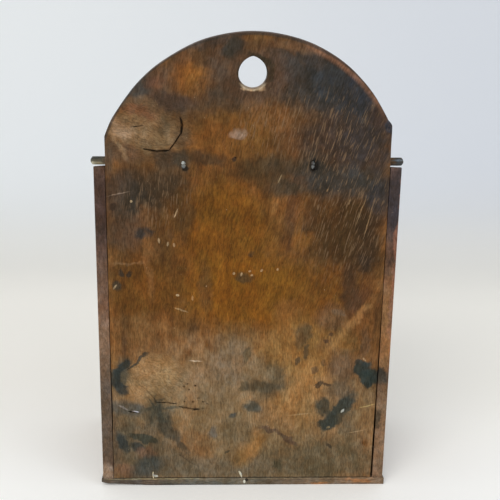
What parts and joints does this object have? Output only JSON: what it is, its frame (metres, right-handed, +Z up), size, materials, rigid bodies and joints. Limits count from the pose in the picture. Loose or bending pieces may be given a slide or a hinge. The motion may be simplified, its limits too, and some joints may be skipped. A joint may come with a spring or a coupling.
{
  "type": "candle box",
  "caption": "Wall-hanging wooden candle box with an arched backboard, a hanging hole, a dovetailed front and a sloped lid that lifts on wire hinges.",
  "frame": {"origin": "centre of the base board's underside", "axes": "+Z up, -Y to the front, +Y to the wall, +X to the right of someone who faces the front"},
  "size_m": [0.289, 0.1556, 0.4512],
  "materials": {
    "back_wood": "worn satin patina",
    "side_wood": "worn satin patina",
    "front_wood": "worn satin patina",
    "base_wood": "worn satin patina",
    "lid_wood": "worn satin patina",
    "hinge_iron": "rubbed wrought iron",
    "nail_iron": "rusted wrought iron"
  },
  "bodies": {
    "box": {"backboard": "back_wood", "side_left": "side_wood", "side_right": "side_wood", "front_board": "front_wood", "base_board": "base_wood", "hinge_left_back_pin": "hinge_iron", "hinge_right_back_pin": "hinge_iron", "side_nails_left": "nail_iron", "side_nails_right": "nail_iron", "base_nails_back": "nail_iron", "base_nails_front": "nail_iron", "base_nails_left": "nail_iron", "base_nails_right": "nail_iron"},
    "lid": {"lid": "lid_wood", "hinge_left_lid_pin": "hinge_iron", "hinge_right_lid_pin": "hinge_iron"}
  },
  "joints": [
    {"name": "lid_hinge", "type": "hinge", "parent": "box", "child": "lid", "pos_m": [0, 0.0606, 0.33165], "axis": [-1, 0, 0], "range_deg": [0, 101]}
  ]
}
